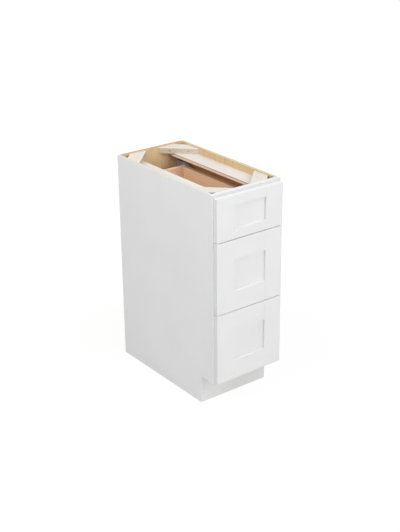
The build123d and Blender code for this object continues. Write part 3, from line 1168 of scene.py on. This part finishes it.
@dataclass
class FaceFrame(SubAssembly):
    """The lacquered frame in front of the carcass."""

    lacquer: Finish
    boards: Names = ("stile_left", "stile_right", "rail_top", "rail_upper", "rail_lower", "rail_bottom")
    reveal_from: float = 864.0

    def build(self) -> None:
        """Dress the frame; the strip of its front above the top drawer's front has painted shade."""
        # Painted shade: the frame's front above the top drawer's front is darker.
        front = Lacquer().material("frame_front", self.reveal_from)
        for board in self.boards:
            self.dress(f"frame_{board}", Slot.PAINT, [self.lacquer, front], faced(-Y))


@dataclass
class TopStiffening(SubAssembly):
    """The level boards and the corner blocks under the open top."""

    steel: Finish
    board_ease: float = 0.3
    screw_reach: float = 32.5
    screw_seat: float = 27.3
    screw_bite: float = 9.0
    block_leg: float = 118.0

    def build(self) -> None:
        """Dress the boards and the blocks and drive the screws."""
        plies = BOARD_EDGE.material("board_edge", "side_board_left", Z)
        for side in ("left", "right"):
            node = f"side_board_{side}"
            face = BOARD_VENEER.material(f"board_{side}", Grain.DEEP, node, (12.0, 150.0))
            self.dress(node, Slot.PLYWOOD, [face, plies], layered(Z), Ease(self.board_ease))
        plies = BLOCK_EDGE.material("block_edge", "corner_block_back_left", Z)
        # The clipped faces take the darker ply edge as painted shade.
        clip = SHADED_CLIP_EDGE.material("block_clip", "corner_block_back_left", Z)
        seats = []
        # The front blocks take the darker copy of the veneer as painted shade, the back blocks the lighter
        # copy as painted light.
        for end, y_inward, veneer in (("front", 1, FRONT_BLOCK_VENEER), ("back", -1, BACK_BLOCK_VENEER)):
            for side, x_inward in (("left", 1), ("right", -1)):
                node = f"corner_block_{end}_{side}"
                grain = Grain.FALLING if x_inward == y_inward else Grain.RISING
                face = veneer.material(f"block_{end}_{side}", grain, node, (30.0, 120.0))
                rule = faced(-X * x_inward - Y * y_inward, 2, layered(Z))
                self.dress(node, Slot.PLYWOOD, [face, plies, clip], rule)
                seats += self._seats(node, x_inward, y_inward)
        length = self.screw_seat + self.screw_bite
        ScrewSet("corner_block_screws", 2.4, 2.6, 2.0, length).drive(seats, self, self.steel)

    def _seats(self, node: str, x_inward: int, y_inward: int) -> list[Seat]:
        """Find the two screw seats of one block.

        Args:
            node: The block's node.
            x_inward: 1 at the left, -1 at the right.
            y_inward: 1 at the front, -1 at the rear.

        Returns:
            The seats.
        """
        box = box_of(node)
        x = (box.low if x_inward > 0 else box.high).x
        y = (box.low if y_inward > 0 else box.high).y
        far = self.block_leg - self.screw_reach
        return [
            ((x + x_inward * self.screw_seat, y + y_inward * far, box.middle.z), -X * x_inward),
            ((x + x_inward * far, y + y_inward * self.screw_seat, box.middle.z), -Y * y_inward),
        ]


@dataclass
class DrawerSlides(SubAssembly):
    """One group of slide members, punched along their webs."""

    node: str
    steel: Finish
    web: Web
    slot_length: float = 11.0
    slot_width: float = 5.0
    slot_pitch: float = 64.0
    slot_rounding: float = 0.499
    slot_steps: int = 5
    punch_reach: float = 3.0
    lip: float = 0.25
    shortest_fold: float = 100.0
    sharp_angle: float = 35.0

    def build(self) -> list[Box]:
        """Dress the members.

        Returns:
            The box of each.
        """
        work = Workpiece(self.node)
        boxes = work.islands()
        member = work.finished(single, Ease(self.lip, self.shortest_fold, self.web.value))
        places = [place for box in boxes for place in self._slots(box)]
        first = len(member.vertices)
        member.vertices.add(len(places))
        punch = member.attributes.new("punch", "BOOLEAN", "POINT")
        for number, place in enumerate(places, first):
            member.vertices[number].co = place * MM
            punch.data[number].value = True
        punched = weighted(self._punch().run(member, self.steel), self.sharp_angle)
        self.mount(self.node + "_finished", punched, Slot.STEEL, [self.steel], [self.node])
        return boxes

    def _slots(self, box: Box) -> list[Vector]:
        """Spread slots evenly along one member.

        Args:
            box: The member's box.

        Returns:
            The middles of the slots.
        """
        count = int((box.high.y - box.low.y) / self.slot_pitch)
        start = (box.low.y + box.high.y - (count - 1) * self.slot_pitch) / 2
        x = math.copysign(self.web.value, box.low.x)
        return [Vector((x, start + step * self.slot_pitch, box.middle.z)) for step in range(count)]

    def _punch(self) -> GeometryTree:
        """Make the tree that punches slots at the marked points of the base mesh.

        Returns:
            The tree.
        """
        sizes = {"Slot Length": self.slot_length, "Slot Width": self.slot_width, "Reach": self.punch_reach}
        tree = GeometryTree("punched_web", sizes)
        marked = tree.node("GeometryNodeInputNamedAttribute", {"Name": "punch"}, data_type="BOOLEAN")
        parted = {"Geometry": tree["Geometry"], "Selection": marked}
        points = tree.node("GeometryNodeSeparateGeometry", parted, domain="POINT")
        width, reach = tree["Slot Width"], tree["Reach"]
        outline = {"Width": tree["Slot Length"], "Height": width}
        fillet = {
            "Curve": tree.node("GeometryNodeCurvePrimitiveQuadrilateral", outline),
            "Radius": width * self.slot_rounding,
            "Count": self.slot_steps,
        }
        ends = {"Start": tree.joined(0.0, 0.0, reach * -0.5), "End": tree.joined(0.0, 0.0, reach * 0.5)}
        cutter = tree.swept(
            tree.node("GeometryNodeCurvePrimitiveLine", ends),
            tree.node("GeometryNodeFilletCurve", fillet, mode="POLY"),
        )
        copies = {"Points": points, "Instance": cutter, "Rotation": Euler((math.pi / 2, 0, math.pi / 2))}
        real = tree.node(
            "GeometryNodeRealizeInstances", {"Geometry": tree.node("GeometryNodeInstanceOnPoints", copies)}
        )
        tree.close(tree.cut(points.at("Inverted"), [real]))
        return tree


@dataclass
class RearBrackets(SubAssembly):
    """The moulded brackets that carry the slides' rear ends."""

    polymer: Finish
    steel: Finish
    screw_spread: float = 23.0
    screw_offset: float = 14.0
    screw_length: float = 12.5
    seat_depth: float = 2.0

    def build(self) -> None:
        """Dress the brackets and screw them to the back."""
        node = "slide_rear_brackets"
        work = Workpiece(node)
        boxes = work.islands()
        mesh = weighted(work.finished(single, Ease(0.6, shortest=1.5)))
        self.mount(node + "_finished", mesh, Slot.BRACKET, [self.polymer], [node])
        seats = []
        for box in boxes:
            x = math.copysign(min(abs(box.low.x), abs(box.high.x)) + self.screw_offset, box.low.x)
            for side in (-1, 1):
                height = box.middle.z + side * self.screw_spread
                seats.append(((x, box.high.y - self.seat_depth, height), Y))
        ScrewSet("bracket_screws", 3.4, 1.9, 1.8, self.screw_length).drive(seats, self, self.steel)


@dataclass
class Bumpers(SubAssembly):
    """The small clear bumpers between the fronts and the frame."""

    polymer: Finish
    radius: float = 4.8
    height: float = 0.3
    fall: float = 0.45
    sides: int = 20
    sharp_angle: float = 50.0
    seed: int = 3

    def build(self) -> None:
        """Stick the bumpers on the frame."""
        node = "frame_bumpers"
        seats = [((box.middle.x, box.high.y, box.middle.z), Y) for box in Workpiece(node).islands()]
        values = {"Radius": self.radius, "Height": self.height, "Seed": self.seed}
        tree = GeometryTree("bumpers", values)
        tree.plant(tree.domed_disc(tree["Radius"], tree["Height"], self.fall, self.sides))
        mesh = weighted(tree.run(seat_points(seats), self.polymer), self.sharp_angle)
        self.mount(node + "_stuck", mesh, Slot.BUMPER, [self.polymer], [node])


@dataclass
class Drawer(SubAssembly):
    """One drawer: the shaker front, the dovetailed box and their fastenings.

    The front's finishes are its own, a darker copy as painted shade on its outer side faces
    and a lighter copy as painted light on its faces turned up or down.
    """

    name: str
    front_finishes: Finishes
    steel: Finish
    screw_steel: Finish
    pith_shift: float
    front_boards: Names = ("stile_left", "stile_right", "rail_top", "rail_bottom", "panel")
    front_ease: float = 0.7
    box_ease: float = 0.35
    floor_ease: float = 0.2
    front_screw_head: float = 2.6
    slide_sheet: float = 1.2
    slide_screw_pitch: float = 192.0
    slide_screw_length: float = 12.0

    def build(self) -> None:
        """Dress the drawer."""
        ease = Ease(self.front_ease, shortest=12.0)
        for board in self.front_boards:
            outward = {"stile_left": -1, "stile_right": 1}.get(board, 0)
            # Finish 1 puts painted shade on a stile's outer side face; finish 2 puts painted light on the
            # faces turned up or down.
            rule = faced(X * outward, 1, layered(Z, 2, 0))
            self.dress(self._node("front_" + board), Slot.PAINT, self.front_finishes, rule, ease)
        self._box()
        self._front_screws()
        slides = DrawerSlides(self.body, self._node("slide_members"), self.steel, Web.DRAWER)
        self._slide_screws(slides.build())

    def _node(self, piece: str) -> str:
        """The full name of one of this drawer's nodes."""
        return f"drawer_{self.name}_{piece}"

    def _box(self) -> None:
        """Dress the box's five boards."""
        # The right side's rim takes the darker maple as painted shade, for the side board's shadow on it.
        for piece, grain, along, rim_maple, pith in (
            ("box_side_left", Grain.DEEP, Y, MAPLE_RIM, (-62.0, 40.0)),
            ("box_side_right", Grain.DEEP, Y, SHADED_RIM, (66.0, -30.0)),
            ("box_front", Grain.ACROSS, X, MAPLE_RIM, (-58.0, 44.0)),
            ("box_back", Grain.ACROSS, X, MAPLE_RIM, (60.0, -52.0)),
        ):
            node = self._node(piece)
            shifted = (pith[0] + self.pith_shift, pith[1] - self.pith_shift)
            maples = ((DRAWER_MAPLE, ""), (MAPLE_ENDS, "_ends"), (rim_maple, "_rim"))
            finishes = [maple.material(node + ending, grain, node, shifted) for maple, ending in maples]
            rule = faced(Z, 2, layered(along, 1, 0))
            self.dress(node, Slot.MAPLE, finishes, rule, Ease(self.box_ease))
        node = self._node("box_bottom")
        face = DRAWER_FLOOR.material(node, Grain.DEEP, node, (30.0 + self.pith_shift, -170.0))
        self.dress(node, Slot.MAPLE, [face], ease=Ease(self.floor_ease))

    def _front_screws(self) -> None:
        """Drive the screws that hold the front."""
        node = self._node("front_screws")
        boxes = Workpiece(node).islands()
        head = self.front_screw_head
        seats = [((box.middle.x, box.high.y - head, box.middle.z), -Y) for box in boxes]
        length = boxes[0].high.y - boxes[0].low.y - head
        ScrewSet(node, 3.8, head, 2.0, length).drive(seats, self, self.screw_steel)

    def _slide_screws(self, boxes: Sequence[Box]) -> None:
        """Drive the screws that hold the slide members to the box's sides.

        Args:
            boxes: The box of each member.
        """
        seats = []
        for box in boxes:
            side = math.copysign(1.0, box.low.x)
            x = side * (Web.DRAWER.value + self.slide_sheet)
            for step in (-1, 0, 1):
                seats.append(((x, box.middle.y + step * self.slide_screw_pitch, box.middle.z), -X * side))
        screws = ScrewSet(self._node("slide_screws"), 3.6, 2.0, 1.8, self.slide_screw_length)
        screws.drive(seats, self, self.screw_steel)


def main() -> None:
    """Build every sub-assembly."""
    logging.basicConfig(level=logging.INFO, format="%(name)s %(message)s")
    Studio().build()
    lacquer = Lacquer().material("lacquer")
    # Darker and lighter copies of the lacquer: painted shade and painted light on the fronts.
    side_shade_lacquer = SIDE_SHADE_LACQUER.material("side_shade_lacquer")
    ledge_light_lacquer = LEDGE_LIGHT_LACQUER.material("ledge_light_lacquer", FaceFrame.reveal_from)
    steel = ZincPlate().material("zinc")
    screw_steel = SCREW_ZINC.material("screw_zinc")
    Carcass("cabinet", lacquer).build()
    FaceFrame("cabinet", lacquer).build()
    TopStiffening("cabinet", screw_steel).build()
    DrawerSlides("cabinet", "slide_cabinet_members", steel, Web.CABINET).build()
    RearBrackets("cabinet", GREY_POLYMER.material("grey_polymer"), screw_steel).build()
    Bumpers("cabinet", CLEAR_POLYMER.material("clear_polymer")).build()
    fronts = [lacquer, side_shade_lacquer, ledge_light_lacquer]
    for number, name in enumerate(("top", "middle", "bottom")):
        Drawer(f"drawer_{name}", name, fronts, steel, screw_steel, pith_shift=17.0 * number).build()
        DrawerSlides(f"slide_middles_{name}", f"drawer_{name}_slide_middles", steel, Web.MIDDLE).build()


if __name__ == "__main__":
    main()
